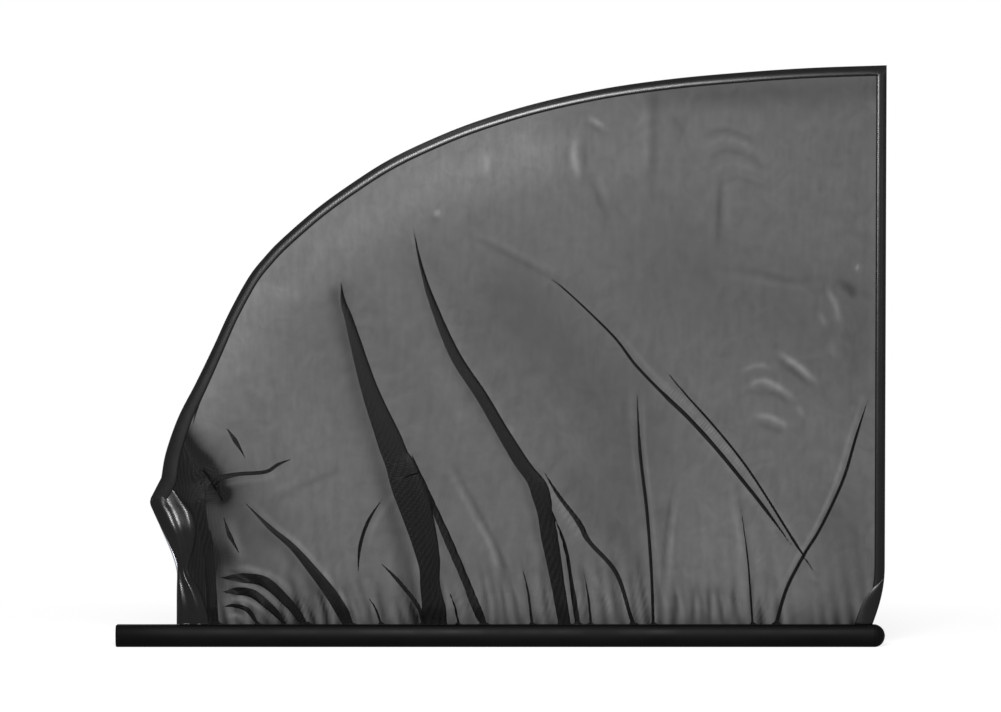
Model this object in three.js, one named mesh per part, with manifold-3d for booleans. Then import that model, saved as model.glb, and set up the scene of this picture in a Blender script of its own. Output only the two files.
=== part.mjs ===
// Car side window sunshade: a sheet of sheer mesh cloth, gathered on a rigid bar along its lower edge and held
// out by a sprung wire frame that runs inside a folded tape along its other edges.
// Millimetres. X runs along the bar, Z is up, and the shade is seen from -Y. The bar's flat back lies on Y = 0,
// and the origin is in the middle of that back.
import * as THREE from 'three';
import { mergeVertices } from 'three/addons/utils/BufferGeometryUtils.js';
import Module from 'manifold-3d';

// Clearance between pieces that touch, glued, sewn or pushed together
const clearance = 0.3;

// Bar: a D-shaped section with a flat back, a bulging front and a keyhole channel for the hem
const barLength = 690;
const barHeight = 20;
const barDepth = 14;
const barFrontBulge = 5;
const barBackRounding = 1;
const clothSetback = 6;
const channelRadius = 3.4;
const slotWidth = 4;
const noseLength = 10;
const noseTipShare = 0.06;
const noseTipDepthShare = 0.45;
const pegLength = 9;

// Wire frame, as the line that its middle follows. The tall side is on the right and the low side on the left.
// Each inset is measured along the bar, from the end of the bar on that side.
const wireRadius = 1.3;
const wireBendRadius = 3.5;
const wireSeatDepth = 14;
const tallFootInset = 13.7;
const tallSideInset = 2.5;
const tallKneeZ = 62;
const cornerInset = 0.8;
const cornerZ = 509.5;
const browInset = 216;
const browZ = 411;
const shoulderInset = 114.5;
const shoulderZ = 310;
const cheekInset = 43.5;
const cheekZ = 141;
const knobInset = 33;
const knobZ = 122;
const lowFootInset = 56.5;
const lowKneeZ = 48;

// How the line turns on its way from foot to foot: its direction in degrees from +X at each turning point, and how
// far it keeps near that direction on the way in and on the way out
const turns = {
  tallFoot: { angle: 70, out: 14 },
  tallKnee: { angle: 90, in: 22 },
  corner: { angle: 182, out: 180 },
  brow: { angle: 216, in: 90, out: 60 },
  shoulder: { angle: 245, in: 50, out: 60 },
  cheek: { angle: 262, in: 30 },
  knob: { angle: 282, out: 30 },
  lowKnee: { angle: 270, in: 26 },
};

// Folded tape round the wire, and the wider sleeve on the low side
const tapeThickness = 0.6;
const bindingWidth = 9;
const sleeveWidth = 25;
const tapeStraight = 3.2;
const tapeNeck = 1.5;
const mitreShift = 0.7;

// Triangle of tape over the foot of the tall side
const patchWidth = 25;
const patchHeight = 33;
const patchSag = 3;
const patchFlare = 3;

// Cloth
const clothThickness = 0.5;
const clothEdgeInset = 2.2;
const columnPitch = 11.5;
const rowCount = 34;
const rowCrowding = 1.2;

// Pleats: the cloth is folded twice, so that it lies in three layers. Each one stands on the bar at footX, leans
// towards topX on the upper edge, and dies out at reach, a share of the way up.
const pleatLayerPitch = 1.3;
const pleatStitchPitch = 3;
const pleatHollow = 18;
const pleatTurn = 1.5;
const pleatMargin = 3;
const pleatOpensOver = 60;
const pleats = [
  { footX: -60.5, topX: -155, reach: 0.8, footWidth: 13, bellyWidth: 23, lift: 3.6 },
  { footX: -12.3, topX: -122, reach: 0.46, footWidth: 6, bellyWidth: 8, lift: 2.6 },
  { footX: 57.6, topX: -101, reach: 0.85, footWidth: 7, bellyWidth: 12, lift: 3.2 },
];

// Creases: soft ridges and furrows along a line of [x, z] points
const creases = [
  { line: [[-8, 354], [55, 315], [137, 227], [210, 150], [262, 77], [280, 40]], width: 8, height: -3.8 },
  { line: [[336, 225], [316, 164], [296, 116], [246, 16]], width: 8, height: 3.4 },
  { line: [[122, 226], [128, 164], [136, 59], [139, 14]], width: 7, height: 3.2 },
  { line: [[31, 145], [79, 88], [118, 39]], width: 7, height: -3 },
  { line: [[-230, 111], [-205, 97], [-157, 43], [-138, 14]], width: 8, height: 4.6 },
  { line: [[-106, 122], [-123, 97], [-128, 54]], width: 7, height: -2.6 },
  { line: [[-262, 142], [-225, 145], [-193, 158]], width: 8, height: 3.6 },
  { line: [[-262, 180], [-260, 101], [-252, 14]], width: 9, height: 5 },
  { line: [[-32, 112], [-15, 77], [-8, 40]], width: 7, height: 2.6 },
];

// Small gathers where the cloth runs into the bar, and the rings that it draws round the low foot
const gatherPitch = 34;
const gatherHeight = 3;
const gatherReach = 30;
const gatherWander = 1.3;
const gatherWanderPitch = 41;
const ringOffset = 36.5;
const ringPitch = 15;
const ringHeight = 2.8;
const ringReach = 58;
const clothBelly = 2.6;
const billow = 2.4;
const billowPitch = 230;
const billowLean = 0.35;
const sway = 0.6;

// How far from the tape, from the sleeve and from the bar the cloth is still drawn flat
const flatByTape = 30;
const flatBySleeve = 16;
const flatByBar = 22;

const barTop = barHeight / 2;
const leftEnd = -barLength / 2;
const rightEnd = barLength / 2;
const tallFootX = rightEnd - tallFootInset;
const tallSideX = rightEnd - tallSideInset;
const cornerX = rightEnd - cornerInset;
const browX = leftEnd + browInset;
const shoulderX = leftEnd + shoulderInset;
const cheekX = leftEnd + cheekInset;
const knobX = leftEnd + knobInset;
const lowFootX = leftEnd + lowFootInset;
const ringCentreX = lowFootX + ringOffset;
const clothY = -clothSetback;
const barBodyRight = rightEnd - noseLength;
const rodRadius = channelRadius - clearance;
const hemZ = rodRadius + clearance;
const lerp = THREE.MathUtils.lerp;
const smooth = THREE.MathUtils.smoothstep;
const point = (x, z) => new THREE.Vector2(x, z);

const wasm = await Module();
wasm.setup();

// Indexed geometry with its faces turned outwards
function closedMesh(positions, triangles) {
  const geometry = new THREE.BufferGeometry();
  geometry.setAttribute('position', new THREE.Float32BufferAttribute(positions, 3));
  let volume = 0;
  const [a, b, c] = [new THREE.Vector3(), new THREE.Vector3(), new THREE.Vector3()];
  for (let i = 0; i < triangles.length; i += 3) {
    a.fromArray(positions, triangles[i] * 3);
    b.fromArray(positions, triangles[i + 1] * 3);
    c.fromArray(positions, triangles[i + 2] * 3);
    volume += a.dot(b.cross(c));
  }
  geometry.setIndex(volume < 0 ? [...triangles].reverse() : triangles);
  geometry.computeVertexNormals();
  return geometry;
}

function toManifold(geometry) {
  let bare = geometry.clone();
  bare.deleteAttribute('normal');
  bare.deleteAttribute('uv');
  bare = mergeVertices(bare, 1e-4);
  return new wasm.Manifold(new wasm.Mesh({
    numProp: 3,
    vertProperties: new Float32Array(bare.attributes.position.array),
    triVerts: new Uint32Array(bare.index.array),
  }));
}

function fromManifold(solid) {
  const mesh = solid.getMesh();
  const geometry = new THREE.BufferGeometry();
  geometry.setAttribute('position', new THREE.BufferAttribute(new Float32Array(mesh.vertProperties), 3));
  geometry.setIndex(new THREE.BufferAttribute(new Uint32Array(mesh.triVerts), 1));
  geometry.computeVertexNormals();
  return geometry;
}

// Straight cylinder between two places along X or Z, for drilling and for round rods
function rodAlong(axis, radius, from, to, x, y, z, sides = 24) {
  const geometry = new THREE.CylinderGeometry(radius, radius, to - from, sides);
  if (axis === 'x') {
    geometry.rotateZ(Math.PI / 2);
    geometry.translate((from + to) / 2, y, z);
  } else {
    geometry.rotateX(Math.PI / 2);
    geometry.translate(x, y, (from + to) / 2);
  }
  return geometry;
}

// Curve from one turning point of the wire's line to another
function bend(from, fromTurn, to, toTurn, steps) {
  const out = THREE.MathUtils.degToRad(fromTurn.angle);
  const into = THREE.MathUtils.degToRad(toTurn.angle);
  const curve = new THREE.CubicBezierCurve(
    from,
    point(from.x + fromTurn.out * Math.cos(out), from.y + fromTurn.out * Math.sin(out)),
    point(to.x - toTurn.in * Math.cos(into), to.y - toTurn.in * Math.sin(into)),
    to,
  );
  return curve.getPoints(steps);
}

// The frame's line from the tall foot, up the side, round the corner, down over the top to the knob and down to
// the low foot. Both feet start at the given height.
function frameLine(footZ) {
  const tallFoot = point(tallFootX, barTop);
  const tallKnee = point(tallSideX, tallKneeZ);
  const corner = point(cornerX, cornerZ);
  const brow = point(browX, browZ);
  const shoulder = point(shoulderX, shoulderZ);
  const cheek = point(cheekX, cheekZ);
  const knob = point(knobX, knobZ);
  const lowKnee = point(lowFootX, lowKneeZ);
  return {
    side: [
      point(tallFootX, footZ),
      ...bend(tallFoot, turns.tallFoot, tallKnee, turns.tallKnee, 6),
      point((tallSideX + cornerX) / 2, (tallKneeZ + cornerZ) / 2),
      corner,
    ],
    top: [
      ...bend(corner, turns.corner, brow, turns.brow, 18),
      ...bend(brow, turns.brow, shoulder, turns.shoulder, 9).slice(1),
      ...bend(shoulder, turns.shoulder, cheek, turns.cheek, 8).slice(1),
      knob,
    ],
    leg: [
      ...bend(knob, turns.knob, lowKnee, turns.lowKnee, 8),
      point(lowFootX, footZ),
    ],
  };
}

// Each point of a line with the direction that faces out of the shade there, lengthened to meet at a mitre
function mitred(line) {
  return line.map((here, i) => {
    const before = line[Math.max(i - 1, 0)];
    const after = line[Math.min(i + 1, line.length - 1)];
    const arriving = (i > 0 ? here.clone().sub(before) : after.clone().sub(here)).normalize();
    const leaving = (i < line.length - 1 ? after.clone().sub(here) : here.clone().sub(before)).normalize();
    const outA = point(arriving.y, -arriving.x);
    const outB = point(leaving.y, -leaving.x);
    return { at: here, arriving, leaving, out: outA.clone().add(outB).divideScalar(1 + outA.dot(outB)) };
  });
}

function joinLines(...lines) {
  return lines.flat().filter((here, i, all) => i === 0 || here.distanceTo(all[i - 1]) > 0.01);
}

function offsetLine(stations, distance) {
  return stations.map(({ at, out }) => at.clone().addScaledVector(out, distance));
}

// Round the sharp corners of a line, as a wire is bent round a pin
function roundCorners(line, radius, steps = 6) {
  const sharp = THREE.MathUtils.degToRad(25);
  return line.flatMap((here, i) => {
    if (i === 0 || i === line.length - 1) return [here];
    const arriving = here.clone().sub(line[i - 1]).normalize();
    const leaving = line[i + 1].clone().sub(here).normalize();
    const turn = Math.acos(THREE.MathUtils.clamp(arriving.dot(leaving), -1, 1));
    if (turn < sharp) return [here];
    const back = radius * Math.tan(turn / 2);
    const start = here.clone().addScaledVector(arriving, -back);
    const side = Math.sign(arriving.cross(leaving));
    const centre = start.clone().add(point(-arriving.y, arriving.x).multiplyScalar(side * radius));
    const step = side * turn / steps;
    return Array.from({ length: steps + 1 }, (_, k) => start.clone().rotateAround(centre, step * k));
  });
}

// Sweep a closed section of [out, depth] pairs along mitred stations, with flat ends
function sweep(section, stations) {
  const positions = stations.flatMap(({ at, out }) => section.flatMap(([reach, depth]) => [
    at.x + out.x * reach, clothY + depth, at.y + out.y * reach,
  ]));
  const count = section.length;
  const triangles = [];
  for (let s = 0; s < stations.length - 1; s++) {
    for (let k = 0; k < count; k++) {
      const a = s * count + k;
      const b = s * count + (k + 1) % count;
      triangles.push(a, b, a + count, b, b + count, a + count);
    }
  }
  const cap = THREE.ShapeUtils.triangulateShape(section.map(([reach, depth]) => point(reach, depth)), []);
  const anticlockwise = THREE.ShapeUtils.area(section.map(([reach, depth]) => point(reach, depth))) > 0;
  const last = (stations.length - 1) * count;
  for (const [a, b, c] of cap) {
    const face = anticlockwise ? [a, c, b] : [a, b, c];
    triangles.push(...face);
    triangles.push(face[0] + last, face[2] + last, face[1] + last);
  }
  return closedMesh(positions, triangles);
}

// Arc of [out, depth] pairs about the wire's middle
function sectionArc(radius, fromDegrees, toDegrees, steps) {
  return Array.from({ length: steps + 1 }, (_, k) => {
    const angle = THREE.MathUtils.degToRad(lerp(fromDegrees, toDegrees, k / steps));
    return [radius * Math.cos(angle), radius * Math.sin(angle)];
  });
}

// Section of a tape folded over the wire and the edge of the cloth
function foldedTape(width) {
  const inner = wireRadius + clearance;
  const outer = inner + tapeThickness;
  const legGap = clothThickness / 2 + clearance;
  const legFace = legGap + tapeThickness;
  const neck = -tapeStraight - tapeNeck;
  const legEnd = outer - width;
  return [
    [legEnd, legFace], [neck, legFace], [-tapeStraight, outer],
    ...sectionArc(outer, 90, -90, 6),
    [-tapeStraight, -outer], [neck, -legFace], [legEnd, -legFace],
    [legEnd, -legGap], [neck, -legGap], [-tapeStraight, -inner],
    ...sectionArc(inner, -90, 90, 4),
    [-tapeStraight, inner], [neck, legGap], [legEnd, legGap],
  ];
}

// D-shaped outline of the bar in (depth, height), with the depth measured towards the viewer
function barOutline(heightShare = 1, depthShare = 1) {
  const half = barHeight / 2 * heightShare;
  const shape = new THREE.Shape();
  const flatFront = (barDepth - barFrontBulge) * depthShare;
  shape.moveTo(0, -half + barBackRounding * heightShare);
  shape.quadraticCurveTo(0, -half, barBackRounding * depthShare, -half);
  shape.lineTo(flatFront, -half);
  shape.absellipse(flatFront, 0, barFrontBulge * depthShare, half, -Math.PI / 2, Math.PI / 2, false);
  shape.lineTo(barBackRounding * depthShare, half);
  shape.quadraticCurveTo(0, half, 0, half - barBackRounding * heightShare);
  return shape;
}

// The bar, cut by the keyhole channel and by the wire's seat at the low foot
function makeBar() {
  const body = new THREE.ExtrudeGeometry(barOutline(), {
    depth: barBodyRight - leftEnd, bevelEnabled: false, curveSegments: 10,
  });
  body.applyMatrix4(new THREE.Matrix4().set(0, 0, -1, barBodyRight, -1, 0, 0, 0, 0, 1, 0, 0, 0, 0, 0, 1));
  const past = 5;
  const channelLength = barBodyRight + past - lowFootX;
  const channel = rodAlong('x', channelRadius, lowFootX, barBodyRight + past, 0, clothY, 0);
  const slot = new THREE.BoxGeometry(channelLength, slotWidth, barTop + past);
  slot.translate(lowFootX + channelLength / 2, clothY, (barTop + past) / 2);
  const seatFloor = barTop - wireSeatDepth - clearance;
  const seat = rodAlong('z', wireRadius + clearance, seatFloor, barTop + past, lowFootX, clothY, 0);
  const cut = toManifold(channel).add(toManifold(slot)).add(toManifold(seat));
  return fromManifold(toManifold(body).subtract(cut));
}

// Round nose that closes the channel. Its peg is pinned in the channel by the foot of the wire.
function makeEndCap() {
  const start = barBodyRight + clearance;
  const length = rightEnd - start;
  const steps = 7;
  const rings = Array.from({ length: steps + 1 }, (_, k) => {
    const along = Math.sin(Math.PI / 2 * k / steps);
    const share = Math.max(Math.sqrt(1 - along * along), noseTipShare);
    return { x: start + length * along, outline: barOutline(share, lerp(noseTipDepthShare, 1, share)).getPoints(6) };
  });
  const count = rings[0].outline.length;
  const positions = rings.flatMap(({ x, outline }) => outline.flatMap((p) => [x, -p.x, p.y]));
  const triangles = [];
  for (let s = 0; s < steps; s++) {
    for (let k = 0; k < count; k++) {
      const a = s * count + k;
      const b = s * count + (k + 1) % count;
      triangles.push(a, b, a + count, b, b + count, a + count);
    }
  }
  for (const [a, b, c] of THREE.ShapeUtils.triangulateShape(rings[0].outline, [])) {
    triangles.push(a, c, b);
  }
  const last = steps * count;
  for (const [a, b, c] of THREE.ShapeUtils.triangulateShape(rings[steps].outline, [])) {
    triangles.push(a + last, b + last, c + last);
  }
  const nose = closedMesh(positions, triangles);
  const bury = 1;
  const peg = rodAlong('x', rodRadius, barBodyRight - pegLength, start + bury, 0, clothY, 0);
  const pinHole = rodAlong('z', wireRadius + clearance, -barHeight, barHeight, tallFootX, clothY, 0, 16);
  return fromManifold(toManifold(nose).add(toManifold(peg).subtract(toManifold(pinHole))));
}

function makeHemRod() {
  const left = lowFootX + wireRadius + 2 * clearance;
  const right = barBodyRight - pegLength - clearance;
  return rodAlong('x', rodRadius, left, right, 0, clothY, 0, 16);
}

function makeWire() {
  const { side, top, leg } = frameLine(barTop - wireSeatDepth);
  side[0].y = -rodRadius;
  const line = roundCorners(joinLines(side, top, leg), wireBendRadius);
  return sweep(sectionArc(wireRadius, 0, 315, 7), mitred(line));
}

// The tapes meet at the knob on a mitre, and both stop just above the bar
function tapeStations() {
  const { side, top, leg } = frameLine(barTop + clearance);
  side.splice(1, 1);
  const stations = mitred(joinLines(side, top, leg));
  const knobIndex = stations.findIndex(({ at }) => at.x === knobX && at.y === knobZ);
  const knob = stations[knobIndex];
  const shift = mitreShift * clearance;
  const end = { ...knob, at: knob.at.clone().addScaledVector(knob.arriving, -shift) };
  const start = { ...knob, at: knob.at.clone().addScaledVector(knob.leaving, shift) };
  return {
    binding: [...stations.slice(0, knobIndex), end],
    sleeve: [start, ...stations.slice(knobIndex + 1)],
  };
}

// Triangle of tape in front of the tall foot, with a sagging long edge
function makeCornerPatch() {
  const bottom = barTop + clearance;
  const right = tallFootX + wireRadius;
  const shape = new THREE.Shape();
  shape.moveTo(right - patchWidth, bottom);
  shape.lineTo(right, bottom);
  shape.quadraticCurveTo(right + patchFlare, bottom + patchHeight / 3, tallSideX, bottom + patchHeight);
  const middle = point((right - patchWidth + tallSideX) / 2 + patchSag, bottom + patchHeight / 2 - patchSag);
  shape.quadraticCurveTo(middle.x, middle.y, right - patchWidth, bottom);
  const geometry = new THREE.ExtrudeGeometry(shape, {
    depth: tapeThickness, bevelEnabled: false, curveSegments: 6,
  });
  geometry.rotateX(Math.PI / 2);
  geometry.translate(0, clothY - wireRadius - tapeThickness - 2 * clearance, 0);
  return geometry;
}

function distanceToLine(x, z, line) {
  let nearest = { distance: Infinity, share: 0 };
  for (let i = 0; i < line.length - 1; i++) {
    const [ax, az] = line[i];
    const [bx, bz] = line[i + 1];
    const lengthSquared = (bx - ax) ** 2 + (bz - az) ** 2;
    const along = THREE.MathUtils.clamp(((x - ax) * (bx - ax) + (z - az) * (bz - az)) / lengthSquared, 0, 1);
    const distance = Math.hypot(x - lerp(ax, bx, along), z - lerp(az, bz, along));
    if (distance < nearest.distance) nearest = { distance, share: (i + along) / (line.length - 1) };
  }
  return nearest;
}

// How far the cloth stands towards +Y at a place, before its edges are held flat
function clothRelief(x, z) {
  let depth = -clothBelly + billow * Math.sin(2 * Math.PI * (x + billowLean * z) / billowPitch);
  for (const { line, width, height } of creases) {
    const { distance, share } = distanceToLine(x, z, line);
    const taper = smooth(share, 0, 0.2) * smooth(1 - share, 0, 0.1);
    depth += height * Math.exp(-((distance / width) ** 2)) * taper;
  }
  const fading = Math.exp(-(z - barTop) / gatherReach);
  const wander = gatherWander * Math.sin(x / gatherWanderPitch);
  depth += gatherHeight * fading * Math.sin(2 * Math.PI * x / gatherPitch + wander);
  const radius = Math.hypot(x - ringCentreX, z - barTop);
  const inRings = 1 - smooth(radius, ringReach * 0.7, ringReach);
  return depth + ringHeight * Math.sin(2 * Math.PI * radius / ringPitch) * inRings;
}

// Points of the middle of the cloth, column by column. The outermost ring of points lies in the tapes and in the
// bar's slot, and everything inside it is a patch stretched between four edges.
function clothGrid() {
  const { side, top, leg } = frameLine(hemZ);
  const wholeLine = joinLines(side, top, leg);
  const frame = mitred(wholeLine);
  const cover = bindingWidth - wireRadius - tapeThickness;
  const cornerIndex = frame.findIndex(({ at }) => at.x === cornerX && at.y === cornerZ);
  const knobIndex = frame.findIndex(({ at }) => at.x === knobX && at.y === knobZ);
  const cutEdges = (inset) => {
    const line = offsetLine(frame, -inset);
    return {
      right: line.slice(0, cornerIndex + 1),
      top: line.slice(cornerIndex, knobIndex + 1).reverse(),
      left: line.slice(knobIndex).reverse(),
    };
  };
  const rim = cutEdges(clothEdgeInset);
  const inner = cutEdges(cover);
  const bottomZ = barTop + clearance;

  const atHeight = (line, z) => {
    const next = Math.max(line.findIndex((p) => p.y >= z - 1e-6), 1);
    const [a, b] = [line[next - 1], line[next]];
    return point(lerp(a.x, b.x, (z - a.y) / (b.y - a.y)), z);
  };
  const lengths = (line) => {
    const sums = [0];
    for (let i = 1; i < line.length; i++) sums.push(sums[i - 1] + line[i].distanceTo(line[i - 1]));
    return sums;
  };
  const alongTop = (line, share) => {
    const sums = lengths(line);
    const wanted = share * sums.at(-1);
    const next = Math.max(sums.findIndex((sum) => sum >= wanted - 1e-9), 1);
    return line[next - 1].clone().lerp(line[next], (wanted - sums[next - 1]) / (sums[next] - sums[next - 1]));
  };
  const shareOfX = (x) => {
    const sums = lengths(inner.top);
    const next = inner.top.findIndex((p, i) => i > 1 && p.x >= x);
    const [a, b] = [inner.top[next - 1], inner.top[next]];
    return lerp(sums[next - 1], sums[next], (x - a.x) / (b.x - a.x)) / sums.at(-1);
  };

  const footLeft = atHeight(inner.left, bottomZ).x;
  const footRight = atHeight(inner.right, bottomZ).x;
  const anchors = [
    { footX: footLeft, share: 0 },
    ...pleats.map((pleat) => ({ footX: pleat.footX, share: shareOfX(pleat.topX), pleat })),
    { footX: footRight, share: 1 },
  ];
  const half = 3.5 * pleatStitchPitch;
  const columns = [];
  anchors.forEach((anchor, i) => {
    if (anchor.pleat) {
      for (let k = 0; k < 8; k++) {
        columns.push({ footX: anchor.footX - half + k * pleatStitchPitch, pleat: anchor.pleat, k });
      }
    }
    if (i === anchors.length - 1) return;
    const from = anchor.footX + (anchor.pleat ? half : 0);
    const to = anchors[i + 1].footX - (anchors[i + 1].pleat ? half : 0);
    const count = Math.max(Math.round((to - from) / columnPitch), 1);
    const first = anchor.pleat ? 1 : 0;
    const last = anchors[i + 1].pleat ? count - 1 : count;
    for (let k = first; k <= last; k++) columns.push({ footX: lerp(from, to, k / count) });
  });
  const topShare = (footX) => {
    const next = Math.max(anchors.findIndex((anchor) => anchor.footX >= footX - 1e-6), 1);
    const [a, b] = [anchors[next - 1], anchors[next]];
    return lerp(a.share, b.share, (footX - a.footX) / (b.footX - a.footX));
  };

  const spread = (footX, v) => {
    const u = (footX - footLeft) / (footRight - footLeft);
    const topPoint = alongTop(inner.top, topShare(footX));
    const leftPoint = atHeight(inner.left, lerp(bottomZ, inner.left.at(-1).y, v));
    const rightPoint = atHeight(inner.right, lerp(bottomZ, inner.right.at(-1).y, v));
    const straight = lerp(footX, topPoint.x, v);
    const edgeBow = (1 - u) * (leftPoint.x - lerp(footLeft, inner.left.at(-1).x, v))
      + u * (rightPoint.x - lerp(footRight, inner.right.at(-1).x, v));
    const inside = smooth(u, 0, 0.2) * smooth(1 - u, 0, 0.2);
    const swayed = sway * (topPoint.x - footX) * (smooth(v, 0, 1) - v) * inside;
    return point(straight + edgeBow + swayed, lerp(bottomZ, topPoint.y, v));
  };

  const pleatState = (pleat, v, z) => {
    const fold = 1 - smooth(v, pleat.reach * 0.62, pleat.reach);
    const belly = lerp(pleat.footWidth, pleat.bellyWidth, smooth(v, 0, 0.3));
    const narrowing = 1 - 0.8 * smooth(v, pleat.reach * 0.45, pleat.reach);
    const lift = lerp(pleatLayerPitch, pleat.lift, smooth(z, barTop + 4, barTop + 70));
    return { fold: fold * fold, half: belly * narrowing / 2, lift: lift * Math.min(1, 1.7 * fold) };
  };
  const pleatProfile = (k, width) => [
    [-width - pleatMargin, -1], [width - pleatTurn, -1], [width, -0.6], [width - pleatTurn, -0.25],
    [pleatTurn - width, 0.25], [-width, 0.6], [pleatTurn - width, 1], [width + pleatMargin, 1],
  ][k];

  const flatten = (x, z) => {
    const { distance } = distanceToLine(x, z, wholeLine.map((p) => [p.x, p.y]));
    const fromLeg = distanceToLine(x, z, leg.map((p) => [p.x, p.y])).distance;
    return smooth(distance, cover + 2, cover + flatByTape)
      * smooth(fromLeg, sleeveWidth + 1, sleeveWidth + flatBySleeve)
      * smooth(z, barTop + 2, barTop + flatByBar);
  };
  const place = (column, v) => {
    const base = spread(column.footX, v);
    let [x, depth] = [base.x, 0];
    for (const pleat of pleats) {
      const state = pleatState(pleat, v, base.y);
      if (pleat === column.pleat) {
        const [sideways, level] = pleatProfile(column.k, state.half);
        const stitched = (column.k - 3.5) * pleatStitchPitch;
        x += state.fold * (sideways - stitched);
        depth += state.lift * level;
      } else {
        const past = Math.abs(column.footX - pleat.footX) - half;
        const side = Math.sign(column.footX - pleat.footX);
        const opened = smooth(base.y, barTop, barTop + pleatOpensOver);
        const hollow = lerp(pleatHollow / 2, pleatHollow, opened);
        depth += side * state.lift * Math.exp(-((past / hollow) ** 2));
      }
    }
    return [x, clothY + depth + clothRelief(x, base.y) * flatten(x, base.y), base.y];
  };

  const levels = Array.from({ length: rowCount + 1 }, (_, j) => (j / rowCount) ** rowCrowding);
  const sideColumn = (line, innerLine) => [
    [line[0].x, clothY, hemZ],
    ...levels.map((v) => {
      const z = lerp(bottomZ, innerLine.at(-1).y, v);
      return [atHeight(line, z).x, clothY, z];
    }),
    [line.at(-1).x, clothY, line.at(-1).y],
  ];
  const body = columns.map((column) => {
    const points = levels.map((v) => place(column, v));
    const edge = alongTop(rim.top, topShare(column.footX));
    return [[points[0][0], points[0][1], hemZ], ...points, [edge.x, clothY, edge.y]];
  });
  return [sideColumn(rim.left, inner.left), ...body, sideColumn(rim.right, inner.right)];
}

// Thicken a grid of points into a closed sheet
function thicken(grid, thickness) {
  const [columns, rows] = [grid.length, grid[0].length];
  const at = (i, j) => new THREE.Vector3(...grid[THREE.MathUtils.clamp(i, 0, columns - 1)][
    THREE.MathUtils.clamp(j, 0, rows - 1)]);
  const positions = [[], []];
  for (let i = 0; i < columns; i++) {
    for (let j = 0; j < rows; j++) {
      const across = at(i + 1, j).sub(at(i - 1, j));
      const up = at(i, j + 1).sub(at(i, j - 1));
      const normal = across.cross(up).normalize().multiplyScalar(thickness / 2);
      positions[0].push(...at(i, j).sub(normal).toArray());
      positions[1].push(...at(i, j).add(normal).toArray());
    }
  }
  const total = columns * rows;
  const triangles = [];
  for (let i = 0; i < columns - 1; i++) {
    for (let j = 0; j < rows - 1; j++) {
      const [a, b, c, d] = [i * rows + j, (i + 1) * rows + j, (i + 1) * rows + j + 1, i * rows + j + 1];
      triangles.push(a, b, c, a, c, d);
      triangles.push(total + a, total + c, total + b, total + a, total + d, total + c);
    }
  }
  const border = [];
  for (let i = 0; i < columns - 1; i++) border.push(i * rows);
  for (let j = 0; j < rows - 1; j++) border.push((columns - 1) * rows + j);
  for (let i = columns - 1; i > 0; i--) border.push(i * rows + rows - 1);
  for (let j = rows - 1; j > 0; j--) border.push(j);
  border.forEach((a, k) => {
    const b = border[(k + 1) % border.length];
    triangles.push(a, total + b, b, a, total + a, total + b);
  });
  return closedMesh(positions.flat(), triangles);
}

const finishes = {
  mesh: { color: 0x2a2a29, roughness: 0.75, metalness: 0 },
  satin: { color: 0x1b1b1c, roughness: 0.35, metalness: 0 },
  plastic: { color: 0x080808, roughness: 0.4, metalness: 0 },
  steel: { color: 0x8b8d90, roughness: 0.3, metalness: 1 },
  nylon: { color: 0xd8d6cf, roughness: 0.5, metalness: 0 },
};

function addPiece(group, name, geometry, finish) {
  const mesh = new THREE.Mesh(geometry, new THREE.MeshStandardMaterial(finishes[finish]));
  mesh.name = name;
  group.add(mesh);
}

const sunshade = new THREE.Group();
const tapes = tapeStations();
addPiece(sunshade, 'base_bar', makeBar(), 'plastic');
addPiece(sunshade, 'bar_end_cap', makeEndCap(), 'plastic');
addPiece(sunshade, 'hem_rod', makeHemRod(), 'nylon');
addPiece(sunshade, 'frame_wire', makeWire(), 'steel');
addPiece(sunshade, 'edge_binding', sweep(foldedTape(bindingWidth), tapes.binding), 'satin');
addPiece(sunshade, 'corner_sleeve', sweep(foldedTape(sleeveWidth), tapes.sleeve), 'satin');
addPiece(sunshade, 'corner_patch', makeCornerPatch(), 'satin');
addPiece(sunshade, 'shade_panel', thicken(clothGrid(), clothThickness), 'mesh');

export default sunshade;
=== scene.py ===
import bpy
import math
import numpy as np
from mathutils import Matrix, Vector


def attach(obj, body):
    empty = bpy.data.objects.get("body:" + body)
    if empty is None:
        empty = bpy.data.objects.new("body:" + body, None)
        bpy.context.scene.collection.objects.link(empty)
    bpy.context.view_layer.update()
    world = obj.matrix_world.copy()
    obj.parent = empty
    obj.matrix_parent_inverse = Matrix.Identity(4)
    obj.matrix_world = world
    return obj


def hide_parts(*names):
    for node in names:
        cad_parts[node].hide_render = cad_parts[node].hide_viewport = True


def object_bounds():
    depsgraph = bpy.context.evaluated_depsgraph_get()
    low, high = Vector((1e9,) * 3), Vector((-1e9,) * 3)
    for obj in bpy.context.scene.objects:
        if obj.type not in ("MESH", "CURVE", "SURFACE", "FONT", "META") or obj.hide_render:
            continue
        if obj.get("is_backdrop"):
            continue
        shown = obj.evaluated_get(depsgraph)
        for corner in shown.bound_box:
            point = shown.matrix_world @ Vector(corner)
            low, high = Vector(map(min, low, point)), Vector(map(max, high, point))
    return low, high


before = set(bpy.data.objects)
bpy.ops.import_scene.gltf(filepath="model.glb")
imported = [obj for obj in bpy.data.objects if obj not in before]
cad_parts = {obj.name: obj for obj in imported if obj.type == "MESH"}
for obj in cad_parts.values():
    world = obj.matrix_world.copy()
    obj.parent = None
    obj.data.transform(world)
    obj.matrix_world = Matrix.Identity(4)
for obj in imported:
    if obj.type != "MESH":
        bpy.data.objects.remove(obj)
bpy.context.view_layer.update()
print("frame loaded:", len(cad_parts), "solids")

mm = 0.001          # every size below is in millimetres, and becomes metres where a mesh is made
clothY = -6.0       # plane that the wire and the cloth lie in, between the front and the back of the bar
barTop = 10.0       # top face of the bar
bandAtScaleOne = 0.31416        # metres between two bands of a wave texture whose scale is 1


# Small helpers

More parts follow.
